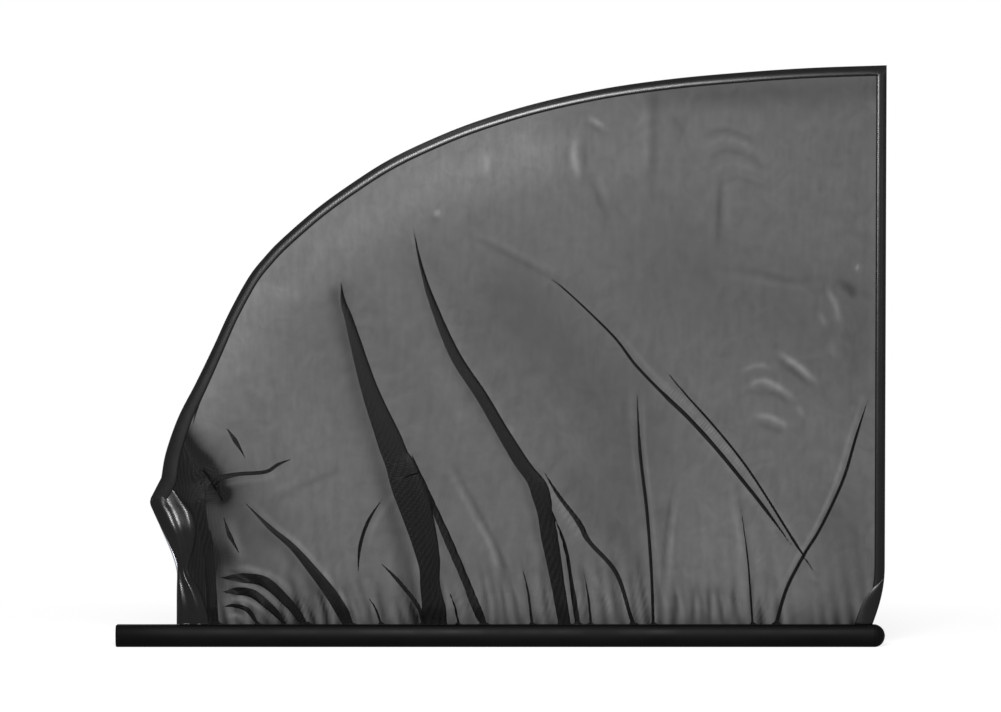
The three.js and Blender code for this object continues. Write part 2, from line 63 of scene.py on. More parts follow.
def toLinear(hexColour):
    channels = [int(hexColour[i:i + 2], 16) / 255 for i in (1, 3, 5)]
    linear = [c / 12.92 if c <= 0.04045 else ((c + 0.055) / 1.055) ** 2.4 for c in channels]
    return (*linear, 1.0)


def addNode(tree, kind, settings=None, links=None):
    node = tree.nodes.new(kind)
    for name, value in (settings or {}).items():
        if isinstance(name, int) or name in node.inputs:
            node.inputs[name].default_value = value
        else:
            setattr(node, name, value)
    for name, output in (links or {}).items():
        tree.links.new(output, node.inputs[name])
    return node


def startMaterial(name):
    material = bpy.data.materials.new(name)
    material.use_nodes = True
    tree = material.node_tree
    tree.nodes.clear()
    return material, tree


def finishMaterial(tree, shader):
    addNode(tree, "ShaderNodeOutputMaterial", links={"Surface": shader.outputs[0]})


def bandsOver(pitch):
    return bandAtScaleOne / (pitch * mm)


def smoothStep(value, low, high):
    t = np.clip((value - low) / (high - low), 0, 1)
    return t * t * (3 - 2 * t)


def makeObject(name, points, faces, material, uv=None, smooth=True):
    mesh = bpy.data.meshes.new(name)
    mesh.from_pydata((np.asarray(points) * mm).tolist(), [], faces)
    if uv is not None:
        layer = mesh.uv_layers.new(name="UVMap")
        corners = np.zeros(len(mesh.loops), dtype=np.int32)
        mesh.loops.foreach_get("vertex_index", corners)
        layer.data.foreach_set("uv", np.asarray(uv, dtype=np.float32)[corners].ravel())
    mesh.polygons.foreach_set("use_smooth", [smooth] * len(mesh.polygons))
    mesh.materials.append(material)
    mesh.validate()
    mesh.update()
    obj = bpy.data.objects.new(name, mesh)
    bpy.context.scene.collection.objects.link(obj)
    return obj


def gridFaces(across, along, closedAcross=False, closedAlong=False):
    faces = []
    for i in range(across if closedAcross else across - 1):
        for j in range(along if closedAlong else along - 1):
            a, b = i * along + j, ((i + 1) % across) * along + j
            c, d = ((i + 1) % across) * along + (j + 1) % along, i * along + (j + 1) % along
            faces.append((a, b, c, d))
    return faces


def endFaces(pointCount, ringCount):
    return [tuple(range(ringCount)), tuple(pointCount - 1 - k for k in range(ringCount))]


# The line of the wire, which every soft piece follows

wire = {
    "tallFoot": (331.3, 10.0), "tallKnee": (342.5, 62.0), "corner": (344.2, 509.5),
    "knob": (-312.0, 122.0), "lowKnee": (-288.5, 48.0), "lowFoot": (-288.5, 10.0), "knobSlope": 282,
    # over the top, from the sharp corner down to the knob
    "topLine": [(344.2, 509.5), (278.9, 507.2), (216.4, 503.1), (153.9, 497.3), (91.4, 488.3),
                (30.6, 474.9),
                (-23.2, 458.4), (-65.1, 441.5), (-100.9, 423.9), (-132.1, 404.1), (-163.2, 381.6),
                (-194.4, 354.5),
                (-209.8, 338.5), (-224.3, 320.0), (-241.4, 288.9), (-255.8, 257.7), (-271.0, 226.3),
                (-286.9, 195.3), (-297.9, 164.2), (-302.2, 141.0), (-312.0, 122.0)],
    "radius": 1.3, "seatDepth": 14.0, "tallSeatZ": -3.1, "cornerBend": 3.4, "sides": 12,
    "linePitch": 0.4,       # the die leaves lines about 0.05 mm apart in life, drawn coarser to show
}


def roundLine(points, perSpan=7):
    points = np.array(points, dtype=float)
    padded = np.vstack([2 * points[0] - points[1], points, 2 * points[-1] - points[-2]])
    pieces = []
    for i in range(1, len(padded) - 2):
        p0, p1, p2, p3 = padded[i - 1:i + 3]
        t = np.linspace(0, 1, perSpan, endpoint=False)[:, None]
        pieces.append(0.5 * (2 * p1 + (p2 - p0) * t + (2 * p0 - 5 * p1 + 4 * p2 - p3) * t ** 2
                             + (3 * p1 - p0 - 3 * p2 + p3) * t ** 3))
    return np.vstack(pieces + [points[-1:]])


def bend(start, startAngle, startReach, end, endAngle, endReach, steps):
    a, b = math.radians(startAngle), math.radians(endAngle)
    p0, p3 = np.array(start), np.array(end)
    p1 = p0 + startReach * np.array([math.cos(a), math.sin(a)])
    p2 = p3 - endReach * np.array([math.cos(b), math.sin(b)])
    t = np.linspace(0, 1, steps + 1)[:, None]
    return (1 - t) ** 3 * p0 + 3 * (1 - t) ** 2 * t * p1 + 3 * (1 - t) * t ** 2 * p2 + t ** 3 * p3


def wireSide(steps=14):
    knee = bend(wire["tallFoot"], 70, 14, wire["tallKnee"], 90, 22, steps)
    straight = np.linspace(wire["tallKnee"], wire["corner"], 60)[1:]
    return np.vstack([knee, straight])


def wireTop():
    curve = roundLine(wire["topLine"][:-1], 12)
    return np.vstack([curve, np.linspace(wire["topLine"][-2], wire["knob"], 8)[1:]])


def wireLeg(steps=20):
    curve = bend(wire["knob"], wire["knobSlope"], 30, wire["lowKnee"], 270, 26, steps)
    return np.vstack([curve, np.linspace(wire["lowKnee"], wire["lowFoot"], 10)[1:]])


def outwards(line):
    before = np.vstack([line[:1], line[:-1]])
    after = np.vstack([line[1:], line[-1:]])
    arriving, leaving = line - before, after - line
    arriving[0], leaving[-1] = leaving[0], arriving[-1]
    arriving /= np.linalg.norm(arriving, axis=1)[:, None]
    leaving /= np.linalg.norm(leaving, axis=1)[:, None]
    first = np.stack([arriving[:, 1], -arriving[:, 0]], axis=1)
    second = np.stack([leaving[:, 1], -leaving[:, 0]], axis=1)
    return (first + second) / (1 + (first * second).sum(axis=1))[:, None]


def runLength(line):
    return np.concatenate([[0], np.cumsum(np.linalg.norm(np.diff(line, axis=0), axis=1))])


def alongLine(line, shares):
    length = runLength(line)
    return np.stack([np.interp(np.asarray(shares) * length[-1], length, line[:, k]) for k in (0, 1)],
                    axis=1)


def distanceTo(points, line):
    best = np.full(len(points), np.inf)
    for a, b in zip(line[:-1], line[1:]):
        step = b - a
        t = np.clip(((points - a) @ step) / (step @ step), 0, 1)
        best = np.minimum(best, np.linalg.norm(points - a - t[:, None] * step, axis=1))
    return best


side, top, leg = wireSide(), wireTop(), wireLeg()
wholeWire = np.vstack([side, top[1:], leg[1:]])
print("wire line:", len(wholeWire), "points")


# Mesh cloth

cloth = {
    "columns": 390, "rows": 240, "rowCrowding": 1.25,
    "edgeInset": 2.2, "hemZ": 4.0,
    "belly": 2.4, "billow": 1.6, "billowPitch": 230, "billowLean": 0.35,
    "gatherPitch": 17, "gatherHeight": 1.2, "gatherReach": 26, "gatherWander": 1.3,
    "gatherWanderLength": 41,
    "ringCentre": (-252, 10), "ringPitch": 15, "ringHeight": 1.5, "ringReach": 62, "ringFrom": (-250, -240),
    "calmAtTape": (5, 34), "calmAtBar": (1, 16),    # relief rises between these distances from tape and bar
    "weavePitch": 1.8,      # real mesh is knitted at about 0.6 mm, drawn three times as coarse to show
    "openness": 0.115,      # share of the light that goes straight through
    "slubWidth": 6, "slubLength": 26, "crumpleSize": 16,
}

# How a fold takes up the cloth round it, all in millimetres but for the shares
pleating = {
    "takenShare": 1.5, "takenMore": 4.5, "moreFrom": 1.2,
          # half the cloth a fold swallows, from its half width
    "reachShare": 1.6, "reachMore": 9.0,                        # how far out the cloth gives way to it
    "liftFrom": 0.8, "hollowMore": 5.0, "hollowShare": 2.0,
    "heldAtTape": (3, 14), "heldAtBar": (-2, 8),
}

# Folds that lie in three layers. Each has a line of (x, z) points, and at each point half the width of what
# shows. toward says which way the front layer points, and lift is how far the layers stand apart.
folds = [
    # bunched hem beside the sleeve
    {"line": [(-291, 190), (-277, 153), (-272, 134), (-267, 101), (-261, 65), (-258, 15)],
     "half": [0, 3, 5, 4.5, 4.5, 5], "toward": 1, "lift": 1.6},
    {"line": [(-268, 150), (-256, 136), (-249, 120)], "half": [0, 2.6, 0], "toward": -1, "lift": 1.0},
    # ribs round the low foot
    {"line": [(-252, 52), (-232, 52), (-211, 48), (-190, 29), (-177, 13)], "half": [0, 3, 3.5, 3, 2.6],
     "toward": -1, "lift": 1.2},
    {"line": [(-250, 39), (-236, 40), (-221, 37), (-202, 21), (-194, 12)],
     "half": [0, 2.6, 2.8, 2.4, 2.2], "toward": -1, "lift": 1.2},
    {"line": [(-249, 26), (-240, 27), (-228, 24), (-219, 13)], "half": [0, 1.8, 2.2, 2], "toward": -1,
     "lift": 1.0},
    {"line": [(-249, 108), (-243, 90), (-233, 72)], "half": [0, 2.2, 0], "toward": 1, "lift": 1.0},
    # S crease and the short ones above it
    {"line": [(-262, 134), (-252, 141), (-235, 145), (-211, 147), (-199, 154), (-186, 159)],
     "half": [0, 2.6, 1.8, 1.7, 1.5, 0], "toward": 1, "lift": 1.0},
    {"line": [(-247, 188), (-238, 175), (-228, 158)], "half": [0, 2.2, 0], "toward": 1, "lift": 1.0},
    {"line": [(-248, 268), (-262, 232), (-272, 202), (-277, 186)], "half": [0, 1.3, 2.0, 0], "toward": 1,
     "lift": 0.9},
    # diagonal fold from the low corner to the bar
    {"line": [(-232, 122), (-207, 97), (-187, 80), (-168, 58), (-151, 36), (-137, 13)],
     "half": [0, 2.2, 3, 4.4, 5.6, 6], "toward": 1, "lift": 1.8},
    # broad pleat
    {"line": [(-143, 318), (-141, 300), (-135, 281), (-118, 223), (-99, 174), (-83, 131), (-70, 88),
              (-63, 49), (-60, 12)],
     "half": [0, 2.4, 4, 7.6, 11.5, 12, 9.5, 7.5, 6.8], "toward": 1, "lift": 3.4},
    {"line": [(-81, 166), (-68, 134), (-48, 88), (-32, 51), (-16, 13)],
     "half": [0, 2.4, 3.8, 3.6, 3.6], "toward": 1, "lift": 2.0},
    {"line": [(-103, 127), (-118, 104), (-126, 80), (-128, 52)], "half": [0, 1.6, 1.6, 0], "toward": -1,
     "lift": 0.9},
    {"line": [(-110, 68), (-92, 50), (-74, 27), (-70, 13)], "half": [0, 1.8, 2, 1.6], "toward": 1,
     "lift": 0.9},
    # second long pleat with its branches
    {"line": [(-79, 370), (-72, 335), (-61, 299), (-41, 252), (-17, 215), (0, 186), (17, 158), (34, 132),
              (43, 93), (51, 49), (57, 13)],
     "half": [0, 1.4, 3.2, 5, 5.4, 5.6, 6.4, 6.4, 5.6, 4.4, 4], "toward": 1, "lift": 2.6},
    {"line": [(36, 152), (52, 126), (71, 101), (80, 84), (104, 56), (118, 13)],
     "half": [0, 1.8, 2.2, 2, 2, 1.6], "toward": 1, "lift": 1.0},
    {"line": [(44, 118), (58, 80), (64, 45), (69, 13)], "half": [0, 1.8, 1.8, 1.8], "toward": -1,
     "lift": 1.0},
    # long double crease
    {"line": [(40, 322), (56, 312), (100, 270), (121, 243), (147, 216), (168, 196), (191, 171),
              (215, 142), (238, 113), (268, 72)],
     "half": [0, 0.8, 1.2, 1.4, 1.5, 1.5, 1.4, 1.3, 1.2, 0], "toward": 1, "lift": 0.9},
    {"line": [(142, 246), (164, 219), (190, 190), (213, 162), (232, 135), (264, 84), (286, 50)],
     "half": [0, 1.0, 1.2, 1.2, 1.2, 1.2, 0], "toward": -1, "lift": 0.9},
    # crease at the tall side, and upright creases over the bar
    {"line": [(333, 222), (319, 179), (309, 145), (298, 119), (285, 93), (272, 72), (257, 43), (248, 14)],
     "half": [0, 1.2, 1.4, 1.4, 1.4, 1.5, 1.6, 1.6], "toward": 1, "lift": 1.0},
    {"line": [(122, 226), (125, 166), (131, 114), (135, 62), (137, 13)], "half": [0, 1.5, 1.5, 1.4, 1.4],
     "toward": 1, "lift": 0.9},
]
# short gathers that fan up from the bar: foot, how far the tip leans, height and half width
for foot, lean, height, width in [(-108, -14, 26, 1.2), (-38, -12, 34, 1.2), (28, -10, 54, 1.3),
                                  (81, -8, 52, 1.2), (226, -14, 124, 1.0)]:
    folds.append({"line": [(foot, 13), (foot + 0.35 * lean, 13 + height * 0.5), (foot + lean, 13 + height)],
                  "half": [width, width * 0.75, 0], "toward": 1 if int(foot) % 2 else -1, "lift": 0.9})
print("folds:", len(folds))


def prepareFold(fold):
    count = len(fold["line"])
    line = roundLine(fold["line"])
    half = np.interp(np.linspace(0, count - 1, len(line)), np.arange(count), fold["half"])
    return {"line": line, "half": half, "toward": fold["toward"], "lift": fold["lift"]}


def nearest(points, fold):
    line, half = fold["line"], fold["half"]
    distance = np.full(len(points), np.inf)
    signed = np.zeros(len(points))
    width = np.zeros(len(points))
    normal = np.zeros((len(points), 2))
    for i in range(len(line) - 1):
        a, step = line[i], line[i + 1] - line[i]
        size = math.hypot(*step)
        across = np.array([-step[1], step[0]]) / size
        t = np.clip(((points - a) @ step) / size ** 2, 0, 1)
        away = np.linalg.norm(points - a - t[:, None] * step, axis=1)
        closer = away < distance
        distance[closer] = away[closer]
        signed[closer] = (np.sign((points - a) @ across) * away)[closer]
        width[closer] = (half[i] + (half[i + 1] - half[i]) * t)[closer]
        normal[closer] = across
    return signed, width, normal


def takeUp(width):
    more = pleating["takenMore"] * np.minimum(width / pleating["moreFrom"], 1)
    taken = width * pleating["takenShare"] + more
    return taken, taken * pleating["reachShare"] + pleating["reachMore"]


def foldCloth(points, depth, fold):
    margin = 60     # wider than any fold reaches
    low, high = fold["line"].min(axis=0) - margin, fold["line"].max(axis=0) + margin
    near = np.where(((points > low) & (points < high)).all(axis=1))[0]
    signed, width, normal = nearest(points[near], fold)
    away = np.abs(signed)
    taken, reach = takeUp(width)
    inside = (away < taken) & (width > 0.02)
    beside = ~inside & (away < reach)
    share = np.where(inside, signed / np.maximum(taken, 1e-6), 0)
    placed = signed.copy()
    # three passes, there, back and there again
    placed[inside] = (width * (4 * share ** 3 - 3 * share))[inside]
    placed[beside] = (np.sign(signed) * (width + (away - taken) * (reach - width) / (reach - taken)))[beside]
    lift = fold["lift"] * width / (width + pleating["liftFrom"])
    hollow = pleating["hollowMore"] + pleating["hollowShare"] * width
    past = np.maximum(away - taken, 0)
    level = np.where(inside, share, np.sign(signed) * np.exp(-(past / hollow) ** 2))
    moved = (placed - signed)[:, None] * normal
    held = smoothStep(edgeDistance[near], *pleating["heldAtTape"])
    moved *= held[:, None]
    moved[:, 1] *= smoothStep(points[near, 1] - barTop, *pleating["heldAtBar"])
    points[near] += moved
    depth[near] += fold["toward"] * lift * level * held


def unfoldLine(line, fold):
    signed, width, normal = nearest(line, fold)
    away = np.abs(signed)
    taken, reach = takeUp(width)
    before = np.where(away < width, away * taken / np.maximum(width, 1e-6),
                      taken + (away - width) * (reach - taken) / (reach - width))
    before = np.where(away < reach, before, away)
    return line + ((before - away) * np.sign(signed))[:, None] * normal


# Flat cloth first, as a patch stretched between the bar and the three lengths of wire
edgeLine = wholeWire - outwards(wholeWire) * cloth["edgeInset"]
knobIndex = len(side) + len(top) - 2
cornerIndex = len(side) - 1
rightEdge = edgeLine[:cornerIndex + 1]
topEdge = edgeLine[cornerIndex:knobIndex + 1][::-1]
leftEdge = edgeLine[knobIndex:][::-1]
rightEdge = np.vstack([[rightEdge[0, 0], cloth["hemZ"]], rightEdge])
leftEdge = np.vstack([[leftEdge[0, 0], cloth["hemZ"]], leftEdge])
u = np.linspace(0, 1, cloth["columns"])
v = np.linspace(0, 1, cloth["rows"]) ** cloth["rowCrowding"]
lower = np.stack([leftEdge[0, 0] + u * (rightEdge[0, 0] - leftEdge[0, 0]),
                  np.full(len(u), cloth["hemZ"])], axis=1)
upper, left, right = alongLine(topEdge, u), alongLine(leftEdge, v), alongLine(rightEdge, v)
uu, vv = u[:, None, None], v[None, :, None]
corners = ((1 - uu) * (1 - vv) * lower[0] + uu * (1 - vv) * lower[-1]
           + (1 - uu) * vv * upper[0] + uu * vv * upper[-1])
flat = (1 - vv) * lower[:, None] + vv * upper[:, None] + (1 - uu) * left[None] + uu * right[None] - corners
flat = flat.reshape(-1, 2)
edgeDistance = distanceTo(flat, edgeLine)

# A later fold moves the lines of the earlier ones, so each line starts where it will end up as given
prepared = [prepareFold(fold) for fold in folds]
for k in range(len(prepared) - 1, -1, -1):
    for later in range(len(prepared) - 1, k, -1):
        prepared[k]["line"] = unfoldLine(prepared[k]["line"], prepared[later])
points, depth = flat.copy(), np.zeros(len(flat))
for fold in prepared:
    foldCloth(points, depth, fold)

x, z = points[:, 0], points[:, 1]
relief = -cloth["belly"] + cloth["billow"] * np.sin(
    2 * math.pi * (x + cloth["billowLean"] * z) / cloth["billowPitch"])
above = z - barTop
relief += (cloth["gatherHeight"] * np.exp(-above / cloth["gatherReach"])
           * np.sin(2 * math.pi * x / cloth["gatherPitch"]
                    + cloth["gatherWander"] * np.sin(x / cloth["gatherWanderLength"])))
radius = np.hypot(x - cloth["ringCentre"][0], z - cloth["ringCentre"][1])
relief += (cloth["ringHeight"] * np.sin(2 * math.pi * radius / cloth["ringPitch"])
           * (1 - smoothStep(radius, cloth["ringReach"] * 0.7, cloth["ringReach"]))
           * smoothStep(x, *cloth["ringFrom"]))
calm = smoothStep(edgeDistance, *cloth["calmAtTape"]) * smoothStep(above, *cloth["calmAtBar"])
calmFold = smoothStep(above, -4, 20) * 0.6 + 0.4        # folds are pressed flatter in the channel
yy = clothY + depth * calmFold + relief * calm
clothUv = flat * mm


# Painted shade and highlights, carried by how open the holes are: a mark closes the cloth to paint the shade of
# a crease, pleat or hollow, or opens it to paint a highlight or broad sheen. Each mark is a line, its half
# width, and the share it opens or closes the cloth by.
paintedShadeAndHighlights = [
    ([(-280, 215), (-232, 290), (-170, 350), (-80, 405), (20, 440)], 34, 0.5),
    ([(-230, 250), (-190, 200), (-160, 150)], 45, 0.14),
    ([(-60, 420), (40, 440), (110, 430)], 34, 0.14),
    ([(10, 300), (70, 240), (110, 190), (120, 120)], 42, -0.28),
    ([(160, 330), (240, 300), (310, 270)], 60, -0.2),
    ([(160, 120), (200, 80)], 40, 0.12),
    ([(300, 110), (318, 60), (310, 25)], 26, -0.24),
    ([(140, 488), (240, 490), (335, 494)], 16, -0.30),
    ([(-268, 150), (-255, 120), (-250, 80)], 22, -0.55),
    ([(-236, 128), (-226, 108), (-214, 92)], 20, -0.25),
    ([(-250, 60), (-215, 40), (-190, 20)], 24, -0.5),
    ([(-288, 186), (-274, 160), (-262, 138)], 12, -0.7), ([(-268, 152), (-258, 138), (-250, 128)], 9, -0.8),
    ([(-296, 206), (-289, 166), (-281, 124), (-276, 80), (-273, 40), (-271, 12)], 15, -0.85),
    ([(-306, 140), (-292, 138), (-270, 136)], 12, -0.8),
    ([(-244, 106), (-238, 84), (-230, 66)], 6, 0.5),
    ([(-246, 32), (-232, 33), (-214, 24), (-205, 12)], 2.4, 0.8),
    ([(-246, 46), (-226, 45), (-205, 33), (-188, 14)], 2.6, 0.8),
    ([(-246, 61), (-225, 60), (-202, 52), (-183, 34)], 3.0, 0.6),
    ([(-245, 18), (-236, 18), (-230, 12)], 2.0, 0.7),
    # shade on the near side of the big pleats
    ([(-146, 306), (-138, 270), (-128, 222), (-116, 176), (-102, 128), (-90, 84), (-80, 40), (-76, 14)],
     8, -0.5),
    ([(-82, 362), (-70, 318), (-56, 274), (-34, 232), (-8, 190), (18, 146), (32, 100), (42, 50),
      (48, 14)], 5, -0.34),
    ([(-60, 318), (-46, 270), (-22, 226), (6, 190), (30, 156)], 6, 0.16),
    ([(-84, 166), (-66, 120), (-48, 76), (-34, 36)], 4, -0.26),
    ([(-214, 96), (-192, 76), (-174, 54), (-158, 32), (-148, 14)], 6, -0.34),
    ([(64, 140), (92, 104), (118, 70), (128, 40)], 10, -0.12),
    ([(-245, 318), (-200, 308), (-160, 306)], 6, 0.22),
    ([(-250, 296), (-215, 300)], 5, 0.18),
    ([(-12, 434), (-13, 414)], 2.6, 0.9), ([(-5, 432), (-5, 410)], 3, -0.25),
    ([(67, 446), (66, 430), (69, 412)], 3, 1.0), ([(75, 444), (76, 415)], 3, -0.3),
    ([(60, 440), (58, 418)], 2.5, -0.25),
    ([(79, 466), (95, 455)], 2.2, 0.8), ([(77, 461), (92, 450)], 2.2, -0.3),
    ([(251, 253), (266, 243), (283, 228)], 2.6, 1.1), ([(249, 247), (264, 236), (280, 222)], 2.6, -0.35),
    ([(222, 224), (234, 229), (248, 224), (264, 213)], 2.6, 0.9),
    ([(224, 218), (246, 217), (262, 206)], 2.6, -0.3),
    ([(228, 198), (243, 196), (259, 187)], 2.6, 0.8), ([(228, 192), (256, 181)], 2.6, -0.25),
    ([(216, 238), (232, 243), (244, 240)], 2.2, 0.5), ([(266, 208), (272, 196)], 2.2, 0.4),
    ([(293, 311), (300, 298), (304, 283)], 2.6, 0.7), ([(286, 290), (292, 277)], 2.4, 0.5),
    ([(300, 320), (312, 312), (318, 302)], 5, -0.42), ([(296, 268), (300, 250)], 3, 0.3),
    ([(-60, 380), (-54, 379)], 3, 1.1), ([(-62, 374), (-54, 373)], 3, -0.3),
    ([(318, 331), (322, 330)], 2.6, 1.2), ([(244, 262), (250, 258)], 3, -0.2),
    ([(138, 486), (137, 440), (135, 388)], 3.6, -0.34), ([(130, 480), (129, 420)], 4, 0.14),
    ([(197, 414), (195, 350)], 2.8, -0.34), ([(204, 410), (203, 356)], 3, 0.12),
    ([(78, 414), (88, 392), (96, 374)], 3, -0.28), ([(86, 420), (98, 388)], 3, 0.14),
    ([(180, 446), (196, 453), (214, 450), (232, 440)], 2.2, -0.28),
    ([(182, 438), (198, 445), (216, 442), (236, 430)], 2.2, 0.22),
    ([(186, 428), (202, 435), (222, 430), (240, 418)], 2.2, -0.24),
    ([(190, 418), (210, 424), (232, 416)], 2.4, 0.18), ([(196, 406), (216, 410), (240, 400)], 2.4, -0.18),
    ([(150, 470), (162, 455), (158, 440)], 3, -0.2), ([(120, 452), (130, 470)], 3, 0.2),
    ([(200, 330), (230, 326), (262, 318), (292, 322)], 3, -0.14),
    ([(204, 322), (240, 316), (280, 312)], 3, 0.12),
    ([(-28, 359), (10, 340), (54, 316)], 2.2, -0.24), ([(-24, 364), (12, 346), (58, 322)], 2.2, 0.16),
    # painted highlights beside the creases
    ([(104, 276), (125, 249), (151, 222), (172, 202), (195, 177), (219, 148), (242, 119), (272, 78)],
     1.7, 0.5),
    ([(132, 240), (154, 212), (180, 184), (203, 155), (222, 129), (256, 76)], 1.5, 0.45),
    ([(326, 217), (312, 176), (302, 143), (291, 116), (278, 90), (265, 69), (250, 40)], 1.6, 0.5),
    ([(127, 222), (130, 166), (136, 114), (140, 62)], 1.5, 0.35),
    ([(116, 222), (119, 166), (125, 114)], 2.0, 0.2),
    ([(155, 140), (148, 90), (143, 22)], 2.0, -0.34), ([(161, 140), (154, 90), (149, 22)], 2.0, 0.26),
    ([(212, 140), (218, 101), (225, 60)], 2.0, -0.2), ([(206, 140), (212, 101), (219, 60)], 2.4, 0.24),
    ([(-225, 122), (-201, 98), (-181, 82), (-161, 60), (-145, 40), (-130, 20)], 2.2, 0.5),
    ([(-258, 129), (-250, 134), (-235, 138), (-211, 141), (-196, 148)], 2.2, 0.24),
    ([(-48, 152), (-27, 112), (-8, 77), (0, 40)], 2.4, 0.4),
    ([(-42, 154), (-21, 114), (-2, 77), (6, 40)], 2.0, -0.3),
    ([(-96, 127), (-111, 104), (-119, 80)], 2.2, 0.3),
    ([(-205, 120), (-170, 138), (-140, 150)], 3.0, -0.2), ([(-206, 128), (-172, 146)], 3, 0.14),
    ([(-60, 250), (-44, 214), (-26, 180)], 7, 0.14), ([(-130, 250), (-122, 190), (-108, 140)], 6, 0.12),
    ([(38, 142), (58, 110), (74, 86)], 2.0, 0.4), ([(70, 70), (92, 40), (100, 20)], 2.4, 0.3),
]

# Painted shade and highlights of soft gathers that fan up from the bar: each a painted dark line with a painted
# highlight beside it. Sines stand for chance.
paintedGatherShade = {
    "count": 58, "first": -246, "pitch": 8.7, "foot": 8, "least": 26, "tallBetween": (-60, 130), "tallMore": 22,
    "lean": 0.34, "fanWidth": 560, "dark": 0.26, "lightShare": 0.7, "beside": 4.4,
}
for k in range(paintedGatherShade["count"]):
    foot = paintedGatherShade["first"] + paintedGatherShade["pitch"] * k + 2.6 * math.sin(2.1 * k)
    height = paintedGatherShade["least"] + 20 * abs(math.sin(1.7 * k + 0.6))
    if paintedGatherShade["tallBetween"][0] < foot < paintedGatherShade["tallBetween"][1]:
        height += paintedGatherShade["tallMore"]
    along = (foot - paintedGatherShade["first"]) / paintedGatherShade["fanWidth"]
    lean = 3 * math.sin(3.3 * k) - paintedGatherShade["lean"] * height * (1 - along)
    amount = paintedGatherShade["dark"] * (1 + abs(math.sin(0.9 * k)))
    low, beside = paintedGatherShade["foot"], foot + paintedGatherShade["beside"]
    paintedShadeAndHighlights.append(([(foot, low), (foot + 0.3 * lean, low + height * 0.5), (foot + lean, low + height)],
                  2.6, -amount))
    paintedShadeAndHighlights.append(([(beside, low), (beside + 0.3 * lean, low + height * 0.4),
                   (foot + 4 + lean, low + height * 0.8)], 2.2, paintedGatherShade["lightShare"] * amount))

# Darker band along the bar, partly cloth bunched there and partly painted shade, with painted streaks of shade
# and highlight for the gathers
bunchedBandAndPaintedStreaks = {"share": 0.5, "height": 10, "streakPitch": 13, "streakShare": 0.34, "streakHeight": 34}


# Painted shade and highlights from the marks, gathers and streaks, given as a share of how open the holes are
def openShareWithPaintedShade(x, z):
    change = np.zeros(len(x))
    narrow = 8      # a mark under this half width fades towards its ends
    spots = np.stack([x, z], axis=1)
    for line, halfWidth, amount in paintedShadeAndHighlights:
        path = roundLine(line, 5)
        lowest, highest = path.min(axis=0) - 3 * halfWidth, path.max(axis=0) + 3 * halfWidth
        near = ((spots > lowest) & (spots < highest)).all(axis=1)
        fade = np.ones(len(path))
        if halfWidth < narrow:
            fade = np.sin(np.linspace(0.08, math.pi - 0.08, len(path))) ** 0.7
        away, strength, _ = nearest(spots[near], {"line": path, "half": fade})
        change[near] += amount * strength * np.exp(-(away / halfWidth) ** 2)
    above = np.maximum(z - barTop, 0)
    change -= bunchedBandAndPaintedStreaks["share"] * np.exp(-above / bunchedBandAndPaintedStreaks["height"])
    wander = 1.6 * np.sin(x / 23) + 0.9 * np.sin(x / 11.3 + 1) + above / 15 + 1.2 * np.sin(x / 67)
    change += bunchedBandAndPaintedStreaks["streakShare"] * np.exp(-above / bunchedBandAndPaintedStreaks["streakHeight"]) * np.sin(
        2 * math.pi * x / bunchedBandAndPaintedStreaks["streakPitch"] + wander) * np.sin(x / 31 + 0.6)
    leastOpen, mostOpen = 0.03, 2.4
    return np.clip(1 + change, leastOpen, mostOpen)


